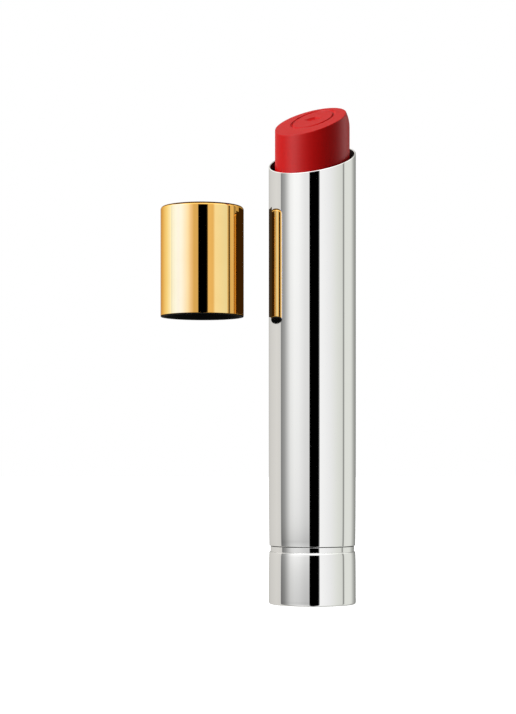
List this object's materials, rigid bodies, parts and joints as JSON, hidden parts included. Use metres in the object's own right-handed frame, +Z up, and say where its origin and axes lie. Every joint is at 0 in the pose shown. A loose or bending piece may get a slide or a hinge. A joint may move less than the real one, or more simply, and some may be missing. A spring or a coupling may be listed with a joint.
{
  "type": "lipstick case",
  "caption": "Slim lipstick: slanted-mouth metal tube with a turning base and screw that raise the bullet, and a plug-in cap shown off beside it.",
  "frame": {"origin": "centre of the turning base's flat underside, on the tube's axis", "axes": "+Z up the tube's axis towards the bullet; -Y is the front, which the slanted mouth's low side faces; the cap hangs on the -X side"},
  "size_m": [0.0318, 0.0154, 0.0811],
  "materials": {
    "chrome_metal": "polished",
    "gold_metal": "polished",
    "bare_alloy": "satin",
    "black_plastic": "satin",
    "natural_plastic": "satin",
    "seal_rubber": "matte",
    "red_wax": "satin"
  },
  "bodies": {
    "tube": {"outer_tube": "chrome_metal", "guide_sleeve": "natural_plastic", "bearing_collar": "chrome_metal", "drag_ring": "seal_rubber"},
    "base": {"knob_shell": "chrome_metal", "knob_core": "black_plastic", "screw_spindle": "bare_alloy", "thrust_washer": "natural_plastic"},
    "carrier": {"carrier_stem": "natural_plastic", "drive_nut": "bare_alloy", "bullet_cup": "bare_alloy", "bullet": "red_wax"},
    "cap": {"cap_shell": "gold_metal", "cap_liner": "black_plastic"}
  },
  "joints": [
    {"name": "base_turn", "type": "hinge", "parent": "tube", "child": "base", "pos_m": [0, 0, 0], "axis": [0, 0, 1], "range_deg": [-382.5, 472.5]},
    {"name": "bullet_lift", "type": "slide", "parent": "tube", "child": "carrier", "axis": [0, 0, 1], "range_m": [-0.01051, 0.00851]},
    {"name": "cap_lift", "type": "slide", "parent": "tube", "child": "cap", "axis": [0, 0, 1], "range_m": [-0.0466, 0.046]}
  ],
  "couplings": [
    {"joint": "bullet_lift", "follows": "base_turn", "m_per_rad": -0.0012732}
  ]
}
